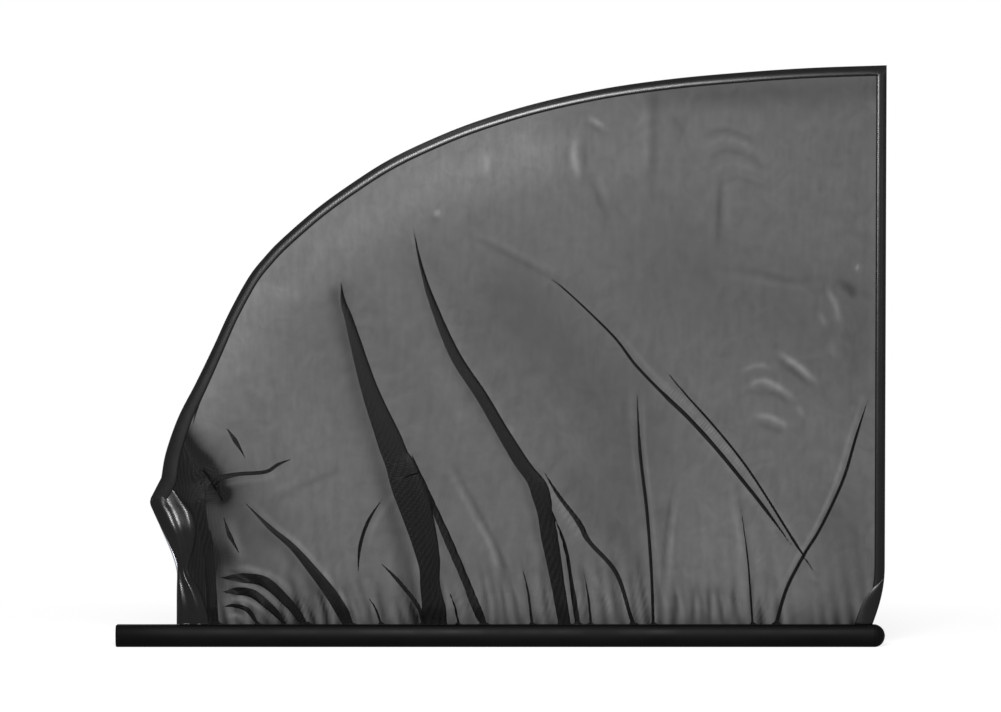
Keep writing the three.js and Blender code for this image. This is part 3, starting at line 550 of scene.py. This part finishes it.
def meshClothMaterial():
    # Warp-knitted polyester mesh, dyed black. Open holes let about a ninth of the light through, and the flat
    # bright yarn gives it a soft sheen.
    material, tree = startMaterial("blackPolyesterMesh")
    coordinates = addNode(tree, "ShaderNodeUVMap")
    ribs, rows = [addNode(tree, "ShaderNodeTexWave", {
        "wave_type": "BANDS", "bands_direction": direction, "Scale": bandsOver(cloth["weavePitch"]),
        "Distortion": 0.6, "Detail": 1.0, "Detail Scale": 1.5}, {"Vector": coordinates.outputs["UV"]})
        for direction in ("X", "Y")]
    knit = addNode(tree, "ShaderNodeMath", {"operation": "MULTIPLY"},
                   {0: ribs.outputs["Fac"], 1: rows.outputs["Fac"]})
    yarn = addNode(tree, "ShaderNodeMix",
                   {"data_type": "RGBA", 6: toLinear("#060606"), 7: toLinear("#0e0e0f")},
                   {0: knit.outputs[0]})
    bump = addNode(tree, "ShaderNodeBump", {"Strength": 0.25, "Distance": 0.0003},
                   {"Height": knit.outputs[0]})
    # The openness attribute carries the painted shade and highlights drawn on the cloth
    paintedOpenness = addNode(tree, "ShaderNodeAttribute",
                     {"attribute_name": "openness", "attribute_type": "GEOMETRY"})
    slubScale = (1 / (cloth["slubWidth"] * mm), 1 / (cloth["slubLength"] * mm), 1)
    slubs = addNode(tree, "ShaderNodeMapping", {"Scale": slubScale}, {"Vector": coordinates.outputs["UV"]})
    slubNoise = addNode(tree, "ShaderNodeTexNoise", {"Scale": 1.0, "Detail": 4.0, "Roughness": 0.65},
                        {"Vector": slubs.outputs["Vector"]})
    crumple = addNode(tree, "ShaderNodeTexNoise", {
        "Scale": 1 / (cloth["crumpleSize"] * mm), "Detail": 3.0, "Roughness": 0.55, "Distortion": 1.2},
        {"Vector": coordinates.outputs["UV"]})
    both = addNode(tree, "ShaderNodeMath", {"operation": "ADD"},
                   {0: slubNoise.outputs["Fac"], 1: crumple.outputs["Fac"]})
    uneven = addNode(tree, "ShaderNodeMapRange",
                     {"From Min": 0.6, "From Max": 1.4, "To Min": 0.82, "To Max": 1.18},
                     {"Value": both.outputs[0]})
    clear = addNode(tree, "ShaderNodeMath", {"operation": "MULTIPLY"},
                    {0: paintedOpenness.outputs["Fac"], 1: uneven.outputs[0]})
    solid = addNode(tree, "ShaderNodeMath", {"operation": "SUBTRACT", 0: 1.0}, {1: clear.outputs[0]})
    shader = addNode(tree, "ShaderNodeBsdfPrincipled",
                     {"Roughness": 0.4, "IOR": 1.45, "Specular IOR Level": 0.02},
                     {"Base Color": yarn.outputs[2], "Normal": bump.outputs["Normal"],
                      "Alpha": solid.outputs[0]})
    finishMaterial(tree, shader)
    return material


panel = makeObject("mesh_panel", np.stack([x, yy, z], axis=1), gridFaces(cloth["columns"], cloth["rows"]),
                   meshClothMaterial(), clothUv)
# openness holds the cloth's see-through share times the painted shade and highlights
openness = panel.data.attributes.new("openness", "FLOAT", "POINT")
openness.data.foreach_set("value", (cloth["openness"] * openShareWithPaintedShade(x, z)).astype(np.float32))
print("cloth:", len(panel.data.polygons), "faces")


# Satin binding

binding = {
    "wireClearance": 0.3, "thickness": 0.6, "width": 9.0, "lowWidth": 14.0,
    "legStart": 4.7, "legGap": 0.55,        # where the legs of the tape meet the cloth, and half the gap
    "edgeRoll": [(0, 1.3), (0.35, 1.9), (1.0, 2.3), (1.4, 2.4)],    # in from the edge, and how far forward
    "faceDepth": 2.4, "faceEnd": -1.3, "shoulderReach": 3.6, "shoulderDrop": 1.65,
    "lowBetween": (130, 290),       # heights over which the tape narrows from lowWidth to width
    "floatPitch": 0.9,              # satin floats are about 0.3 mm long in life, drawn coarser to show
}


def satinMaterial(name):
    # Polyester satin tape, woven with long floats of filament yarn: black, with a bright streak on each bend
    material, tree = startMaterial(name)
    coordinates = addNode(tree, "ShaderNodeUVMap")
    floats = addNode(tree, "ShaderNodeTexWave", {
        "wave_type": "BANDS", "bands_direction": "DIAGONAL", "Scale": bandsOver(binding["floatPitch"]),
        "Distortion": 0.8, "Detail": 2.0, "Detail Scale": 2.0}, {"Vector": coordinates.outputs["UV"]})
    cloudy = addNode(tree, "ShaderNodeTexNoise", {"Scale": 1 / (22 * mm), "Detail": 3.0},
                     {"Vector": coordinates.outputs["UV"]})
    colour = addNode(tree, "ShaderNodeMix",
                     {"data_type": "RGBA", 6: toLinear("#050505"), 7: toLinear("#0c0c0d")},
                     {0: cloudy.outputs["Fac"]})
    bump = addNode(tree, "ShaderNodeBump", {"Strength": 0.12, "Distance": 0.0002},
                   {"Height": floats.outputs["Fac"]})
    shader = addNode(tree, "ShaderNodeBsdfPrincipled", {
        "Roughness": 0.24, "IOR": 1.5, "Specular IOR Level": 0.1},
        {"Base Color": colour.outputs[2], "Normal": bump.outputs["Normal"]})
    finishMaterial(tree, shader)
    return material


satin = satinMaterial("blackPolyesterSatin")


def bindingSection(width):
    inner = wire["radius"] + binding["wireClearance"]
    outer = inner + binding["thickness"]
    legGap, legFace = binding["legGap"], binding["legGap"] + binding["thickness"]
    neck = -binding["legStart"]
    edge = outer - width
    # The front of the tape is turned in double and lies level with the wire, where it catches the light. Its
    # edge rolls in to the cloth, and its outer shoulder slopes back round the wire.
    depth, end = binding["faceDepth"], binding["faceEnd"]
    roll = [(edge + reach, -deep) for reach, deep in binding["edgeRoll"]]
    front = [(edge, -legGap)] + roll + [(end, -depth)]
    reach, drop = binding["shoulderReach"], binding["shoulderDrop"]
    shoulder = [(end + reach * k / 5, drop * k / 5 - depth) for k in range(1, 6)]
    rim = [(outer * 1.1, -0.2), (outer * 1.08, 0.5)]
    angles = np.radians(np.linspace(25, 90, 6))
    back = [(outer * math.cos(a), outer * math.sin(a)) for a in angles] + [(-2.0, outer * 0.97)]
    back += [(neck, legFace), (edge + 0.6, legFace), (edge, legFace * 0.9), (edge, legGap)]
    hollow = [(neck, legGap), (-2.0, inner)]
    hollow += [(inner * math.cos(a), inner * math.sin(a)) for a in np.radians(np.linspace(90, -90, 7))]
    hollow += [(-2.0, -inner), (neck, -legGap)]
    return front + shoulder + rim + back + hollow


def sweepSection(name, line, sections, material):
    out = outwards(line)
    length = runLength(line)
    points, uv = [], []
    for here, direction, section, run in zip(line, out, sections, length):
        around = 0.0
        previous = section[0]
        for reach, deep in section:
            around += math.hypot(reach - previous[0], deep - previous[1])
            previous = (reach, deep)
            spot = here + direction * reach
            points.append((spot[0], clothY + deep, spot[1]))
            uv.append((run * mm, around * mm))
    count = len(sections[0])
    faces = gridFaces(len(line), count, closedAlong=True)
    return makeObject(name, points, faces + endFaces(len(points), count), material, uv)


bindingLine = np.vstack([side, top[1:]])
bindingLine[0, 1] = barTop + 0.3
lowShare = 1 - smoothStep(bindingLine[:, 1], *binding["lowBetween"])
onTop = np.arange(len(bindingLine)) >= len(side)
widths = np.where(onTop, binding["width"] + (binding["lowWidth"] - binding["width"]) * lowShare,
                  binding["width"])
tape = sweepSection("satin_binding", bindingLine, [bindingSection(w) for w in widths], satin)
print("binding:", len(tape.data.polygons), "faces")


def springSteelMaterial():
    # Hardened carbon steel wire, drawn and oil tempered: bluish grey with fine lines along its length
    material, tree = startMaterial("temperedSpringSteel")
    coordinates = addNode(tree, "ShaderNodeTexCoord")
    lines = addNode(tree, "ShaderNodeTexNoise", {"Scale": 1 / (wire["linePitch"] * mm), "Detail": 2.0},
                    {"Vector": coordinates.outputs["Object"]})
    roughness = addNode(tree, "ShaderNodeMapRange", {"To Min": 0.28, "To Max": 0.42},
                        {"Value": lines.outputs["Fac"]})
    shader = addNode(tree, "ShaderNodeBsdfPrincipled", {"Base Color": toLinear("#8a8c91"), "Metallic": 1.0},
                     {"Roughness": roughness.outputs[0]})
    finishMaterial(tree, shader)
    return material


def makeWire():
    footZ = barTop - wire["seatDepth"]
    line = np.vstack([[wholeWire[0, 0], wire["tallSeatZ"]], wholeWire, [wholeWire[-1, 0], footZ]])
    away = np.linalg.norm(line - np.array(wire["corner"]), axis=1)
    line = line[away > wire["cornerBend"]]      # the wire turns the corner in a small bend
    angles = np.radians(np.arange(wire["sides"]) * 360 / wire["sides"])
    section = [(wire["radius"] * math.cos(a), wire["radius"] * math.sin(a)) for a in angles]
    return sweepSection("spring_wire", line, [section] * len(line), springSteelMaterial())


steel = makeWire()


# Twisted sleeve at the low side

sleeve = {
    # height, left edge, right edge and how far the front bulges
    "levels": [(134, -306.0, -297.5, 0.5), (130, -309.5, -291, 1.0), (125, -313.0, -286, 2.0),
               (119, -314.5, -281, 3.4), (110, -311, -275, 5.0), (96, -304.5, -272, 6.4),
               (82, -297.5, -274, 5.2), (70, -292.5, -277.5, 3.6), (62, -290.5, -280, 3.0),
               (54, -290.3, -278, 3.4), (42, -290.6, -270, 5.0), (28, -290.7, -264.5, 5.8),
               (18, -290.7, -262.5, 4.6), (10.3, -290.7, -262, 3.2)],
    "creases": 1.6, "creaseDepth": 1.1, "fine": 4, "fineDepth": 0.12, "around": 84, "rows": 96,
    "twist": 0.9, "waistZ": 62, "waistLength": 22, "backShare": 0.7, "fullDepthFrom": 4,
}


def makeSleeve():
    levels = np.array(sleeve["levels"], dtype=float)
    wanted = np.linspace(0, len(levels) - 1, sleeve["rows"])
    index = np.arange(len(levels))
    smoothed = [roundLine(np.stack([index, levels[:, k]], axis=1), 9) for k in range(4)]
    height, leftX, rightX, bulge = [np.interp(wanted, s[:, 0], s[:, 1]) for s in smoothed]
    points, uv = [], []
    for j in range(sleeve["rows"]):
        middle, halfWide = (leftX[j] + rightX[j]) / 2, (rightX[j] - leftX[j]) / 2
        # the folds swing over at the waist
        turn = sleeve["twist"] * math.tanh((height[j] - sleeve["waistZ"]) / sleeve["waistLength"])
        for i in range(sleeve["around"]):
            angle = 2 * math.pi * i / sleeve["around"]
            across = math.cos(angle)
            ripple = sleeve["creaseDepth"] * math.cos(sleeve["creases"] * math.pi * (across + 0.5 * turn))
            ripple += sleeve["fineDepth"] * math.sin(sleeve["fine"] * math.pi * (across + turn))
            front = math.sin(angle)
            ripple *= abs(front) * min(bulge[j] / sleeve["fullDepthFrom"], 1)
            thick = bulge[j] * (1 if front < 0 else sleeve["backShare"]) + ripple
            points.append((middle + halfWide * across, clothY + front * thick, height[j]))
            uv.append((halfWide * across * mm, height[j] * mm))
    faces = [tuple(reversed(f)) for f in gridFaces(sleeve["rows"], sleeve["around"], closedAlong=True)]
    return makeObject("satin_sleeve", points, faces + endFaces(len(points), sleeve["around"]), satin, uv)


ribbon = makeSleeve()
print("sleeve:", len(ribbon.data.polygons), "faces")


# Triangle of tape at the foot of the tall side

patch = {
    "corner": (317.5, 10.3), "foot": (333.0, 10.3), "tip": (343.2, 52.0), "rows": 26, "columns": 14,
    "bow": 4.0, "bowWay": (-0.77, 0.64), "sideBow": 1.4, "forward": 2.6, "curl": 0.7, "ripple": 0.5,
    "thickness": 0.5,
}


def makePatch():
    foot, tip, corner = (np.array(patch[k]) for k in ("foot", "tip", "corner"))
    points, uv = [], []
    for j in range(patch["rows"]):
        t = j / (patch["rows"] - 1)
        rightPoint = foot * (1 - t) + tip * t + np.array([patch["sideBow"] * math.sin(math.pi * t), 0])
        bow = np.array(patch["bowWay"]) * patch["bow"] * math.sin(math.pi * t)
        leftPoint = corner * (1 - t) + tip * t + bow
        for i in range(patch["columns"]):
            s = i / (patch["columns"] - 1)
            spot = leftPoint * (1 - s) + rightPoint * s
            curl = patch["curl"] * math.sin(math.pi * s)
            curl += patch["ripple"] * math.sin(3.2 * s + 5 * t) * (1 - t)
            points.append((spot[0], clothY - patch["forward"] - curl, spot[1]))
            uv.append(spot * mm)
    faces = gridFaces(patch["rows"], patch["columns"])
    obj = makeObject("satin_triangle", points, faces, satin, uv)
    thick = obj.modifiers.new("thickness", "SOLIDIFY")
    thick.thickness = patch["thickness"] * mm
    thick.offset = 0
    return obj


triangle = makePatch()
print("triangle done")


# Bar

bar = {
    "length": 690.0, "height": 20.0, "depth": 14.0, "bulge": 5.0, "edge": 1.0, "nose": 10.0,
    "slotWidth": 4.0, "slotDepth": 6.5, "slotStart": -288.5, "cornerRound": 1.2,
    "noseSeam": 0.3, "noseTipDepth": 0.45,
    "grainPitch": 0.9,      # die lines are about 0.2 mm apart in life, drawn coarser to show
}


def barSection(heightShare=1.0, depthShare=1.0, slot=0.0, inset=0.0):
    half = bar["height"] / 2 * heightShare - inset
    front = -(bar["depth"] - bar["bulge"]) * depthShare
    section = []
    radius = bar["edge"] * min(heightShare, depthShare)
    back = -inset
    for a in np.radians([0, 30, 60, 90]):
        section.append((back - radius + radius * math.cos(a), half - radius + radius * math.sin(a)))
    slotHalf = bar["slotWidth"] / 2
    for deep, z in [(clothY + slotHalf, 0), (clothY + slotHalf, -0.3 * slot), (clothY + slotHalf, -slot),
                    (clothY - slotHalf, -slot), (clothY - slotHalf, -0.3 * slot), (clothY - slotHalf, 0)]:
        section.append((max(deep, front) if deep < 0 else deep, half + z))
    for a in np.radians(np.linspace(90, -90, 25)):
        section.append((front - (bar["bulge"] * depthShare - inset) * math.cos(a), half * math.sin(a)))
    for a in np.radians([-90, -60, -30, 0]):
        section.append((back - radius + radius * math.cos(a), -half + radius + radius * math.sin(a)))
    return section


def mouldedPlasticMaterial():
    # ABS, extruded and lightly textured by the die: deep black with a faint broad gloss
    material, tree = startMaterial("blackAbs")
    coordinates = addNode(tree, "ShaderNodeTexCoord")
    stretched = addNode(tree, "ShaderNodeMapping", {"Scale": (0.12, 1, 1)},
                        {"Vector": coordinates.outputs["Object"]})
    grain = addNode(tree, "ShaderNodeTexNoise", {
        "Scale": 1 / (bar["grainPitch"] * mm), "Detail": 3.0, "Roughness": 0.6},
        {"Vector": stretched.outputs["Vector"]})
    dull = addNode(tree, "ShaderNodeTexNoise", {"Scale": 1 / (60 * mm), "Detail": 4.0},
                   {"Vector": coordinates.outputs["Object"]})
    roughness = addNode(tree, "ShaderNodeMapRange",
                        {"From Min": 0.3, "From Max": 0.7, "To Min": 0.4, "To Max": 0.55},
                        {"Value": dull.outputs["Fac"]})
    colour = addNode(tree, "ShaderNodeMix",
                     {"data_type": "RGBA", 6: toLinear("#010101"), 7: toLinear("#040404")},
                     {0: dull.outputs["Fac"]})
    bump = addNode(tree, "ShaderNodeBump", {"Strength": 0.15, "Distance": 0.0001},
                   {"Height": grain.outputs["Fac"]})
    shader = addNode(tree, "ShaderNodeBsdfPrincipled", {"IOR": 1.5, "Specular IOR Level": 0.03},
                     {"Base Color": colour.outputs[2], "Roughness": roughness.outputs[0],
                      "Normal": bump.outputs["Normal"]})
    finishMaterial(tree, shader)
    return material


plastic = mouldedPlasticMaterial()


def loft(name, stations):
    points = [(x, y, z) for x, section in stations for y, z in section]
    count = len(stations[0][1])
    faces = [tuple(reversed(f)) for f in gridFaces(len(stations), count, closedAlong=True)]
    return makeObject(name, points, faces + endFaces(len(points), count), plastic)


def makeBar():
    left, right = -bar["length"] / 2, bar["length"] / 2 - bar["nose"]
    rounding = bar["cornerRound"]
    stations = [(left, barSection(slot=0, inset=rounding))]
    for a in np.radians([30, 60, 90]):
        stations.append((left + rounding * (1 - math.cos(a)),
                         barSection(slot=0, inset=rounding * (1 - math.sin(a)))))
    stations.append((bar["slotStart"] - 0.01, barSection(slot=0)))
    stations.append((bar["slotStart"], barSection(slot=bar["slotDepth"])))
    for share in np.linspace(0, 1, 24)[1:]:
        stations.append((bar["slotStart"] + share * (right - bar["slotStart"]),
                         barSection(slot=bar["slotDepth"])))
    return loft("moulded_bar", stations)


def makeNose():
    start = bar["length"] / 2 - bar["nose"] + bar["noseSeam"]
    length = bar["length"] / 2 - start
    stations = []
    for a in np.radians(np.linspace(0, 88, 14)):
        share = math.cos(a)
        stations.append((start + length * math.sin(a),
                         barSection(share, bar["noseTipDepth"] + (1 - bar["noseTipDepth"]) * share)))
    return loft("moulded_nose", stations)


barPiece, nosePiece = makeBar(), makeNose()
for piece in (barPiece, nosePiece):
    edges = piece.modifiers.new("sharp edges", "EDGE_SPLIT")
    edges.split_angle = math.radians(40)
print("bar done")


# Hem rod, which stays as the solid is

def nylonMaterial():
    # Nylon 6 rod, extruded and left undyed: milky, with a waxy gloss
    material, tree = startMaterial("naturalNylon")
    coordinates = addNode(tree, "ShaderNodeTexCoord")
    cloudy = addNode(tree, "ShaderNodeTexNoise", {"Scale": 1 / (8 * mm)},
                     {"Vector": coordinates.outputs["Object"]})
    colour = addNode(tree, "ShaderNodeMix",
                     {"data_type": "RGBA", 6: toLinear("#d6d3c8"), 7: toLinear("#e4e1d8")},
                     {0: cloudy.outputs["Fac"]})
    shader = addNode(tree, "ShaderNodeBsdfPrincipled", {"Roughness": 0.45, "IOR": 1.53},
                     {"Base Color": colour.outputs[2]})
    finishMaterial(tree, shader)
    return material


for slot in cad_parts["hem_rod"].material_slots:
    slot.material = nylonMaterial()
print("rod finished")


# What each piece is, and what it rides on

roles = [
    (panel, "shade_panel", "mesh_cloth"), (tape, "edge_binding", "satin_tape"),
    (steel, "frame_wire", "spring_steel"), (ribbon, "corner_sleeve", "satin_tape"),
    (triangle, "corner_patch", "satin_tape"),
    (barPiece, "base_bar", "bar_plastic"), (nosePiece, "bar_end_cap", "bar_plastic"),
]
for piece, node, slotName in roles:
    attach(piece, "root")
    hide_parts(node)


# Floor, light and camera

studio = {
    "floorZ": -10.0, "floorSize": 6.0, "centre": (0.0, 0.0, 0.251),
    "lens": 135.0, "sensorWidth": 36.0, "frameWidth": 0.90,     # metres across the picture at the shade
    "fadeFrom": 0.2, "fadeTo": 0.75, "whiteNear": 0.72,         # metres, and how white the floor starts
    "worldSeen": 1.0, "worldLight": 0.45,
}


def stageMaterial():
    # Painted plywood floor, matt white, which fades into the white round it
    material, tree = startMaterial("mattWhiteFloor")
    coordinates = addNode(tree, "ShaderNodeTexCoord")
    distance = addNode(tree, "ShaderNodeVectorMath", {"operation": "LENGTH"},
                       {0: coordinates.outputs["Object"]})
    fade = addNode(tree, "ShaderNodeMapRange", {
        "From Min": studio["fadeFrom"], "From Max": studio["fadeTo"],
        "To Min": studio["whiteNear"], "To Max": 1.0}, {"Value": distance.outputs["Value"]})
    path = addNode(tree, "ShaderNodeLightPath")
    seen = addNode(tree, "ShaderNodeMath", {"operation": "MAXIMUM"},
                   {0: path.outputs["Is Camera Ray"], 1: path.outputs["Is Glossy Ray"]})
    share = addNode(tree, "ShaderNodeMath", {"operation": "MULTIPLY"},
                    {0: fade.outputs[0], 1: seen.outputs[0]})
    paint = addNode(tree, "ShaderNodeBsdfDiffuse", {"Color": toLinear("#f2f2f2")})
    white = addNode(tree, "ShaderNodeEmission", {"Color": (1, 1, 1, 1), "Strength": 1.0})
    mixed = addNode(tree, "ShaderNodeMixShader",
                    links={0: share.outputs[0], 1: paint.outputs[0], 2: white.outputs[0]})
    finishMaterial(tree, mixed)
    return material


half = studio["floorSize"] / 2 / mm
floor = makeObject("studio_floor", [(-half, -half, studio["floorZ"]), (half, -half, studio["floorZ"]),
                                    (half, half, studio["floorZ"]), (-half, half, studio["floorZ"])],
                   [(0, 1, 2, 3)], stageMaterial(), smooth=False)
floor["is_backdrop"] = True

world = bpy.data.worlds.new("studioWhite")
bpy.context.scene.world = world
world.use_nodes = True
tree = world.node_tree
tree.nodes.clear()
path = addNode(tree, "ShaderNodeLightPath")
cameraOrGlossy = addNode(tree, "ShaderNodeMath", {"operation": "MAXIMUM"},
                         {0: path.outputs["Is Camera Ray"], 1: path.outputs["Is Glossy Ray"]})
seen = addNode(tree, "ShaderNodeMath", {"operation": "MAXIMUM"},
               {0: cameraOrGlossy.outputs[0], 1: path.outputs["Is Transmission Ray"]})
fill = addNode(tree, "ShaderNodeBackground", {"Color": (1, 1, 1, 1), "Strength": studio["worldLight"]})
seenWhite = addNode(tree, "ShaderNodeBackground", {"Color": (1, 1, 1, 1), "Strength": studio["worldSeen"]})
mixed = addNode(tree, "ShaderNodeMixShader",
                links={0: seen.outputs[0], 1: fill.outputs[0], 2: seenWhite.outputs[0]})
addNode(tree, "ShaderNodeOutputWorld", links={"Surface": mixed.outputs[0]})


def addLamp(name, place, target, size, watts):
    lamp = bpy.data.lights.new(name, "AREA")
    lamp.shape = "RECTANGLE"
    lamp.size, lamp.size_y = size
    lamp.energy = watts
    obj = bpy.data.objects.new(name, lamp)
    obj.location = place
    direction = Vector(target) - Vector(place)
    obj.rotation_euler = direction.to_track_quat("-Z", "Y").to_euler()
    obj.visible_camera = False
    bpy.context.scene.collection.objects.link(obj)


# Name, place, target and size in metres, and watts. The tape mirrors the front one to the camera.
lamps = [
    ("highSoftbox", (-0.38, -1.15, 1.45), (-0.02, 0, 0.45), (0.4, 0.4), 8),
    ("frontSoftbox", (0.0, -1.5, 0.61), (0, 0, 0.46), (0.42, 0.16), 62),
    ("frontLeftSoftbox", (-0.42, -1.5, 0.66), (-0.1, 0, 0.3), (0.45, 0.45), 6),
    ("rightFill", (1.4, -1.6, 0.7), (0, 0, 0.2), (0.8, 0.8), 5),
]
for lampSettings in lamps:
    addLamp(*lampSettings)

camera = bpy.data.cameras.new("camera")
camera.lens = studio["lens"]
camera.sensor_width = studio["sensorWidth"]
distance = studio["frameWidth"] * camera.lens / camera.sensor_width
cameraObject = bpy.data.objects.new("camera", camera)
cameraObject.location = (studio["centre"][0], -distance, studio["centre"][2])
cameraObject.rotation_euler = (math.radians(90), 0, 0)
bpy.context.scene.collection.objects.link(cameraObject)
bpy.context.scene.camera = cameraObject
bpy.context.scene.view_settings.view_transform = "Standard"
print("studio done")

bpy.context.view_layer.update()
low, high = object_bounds()
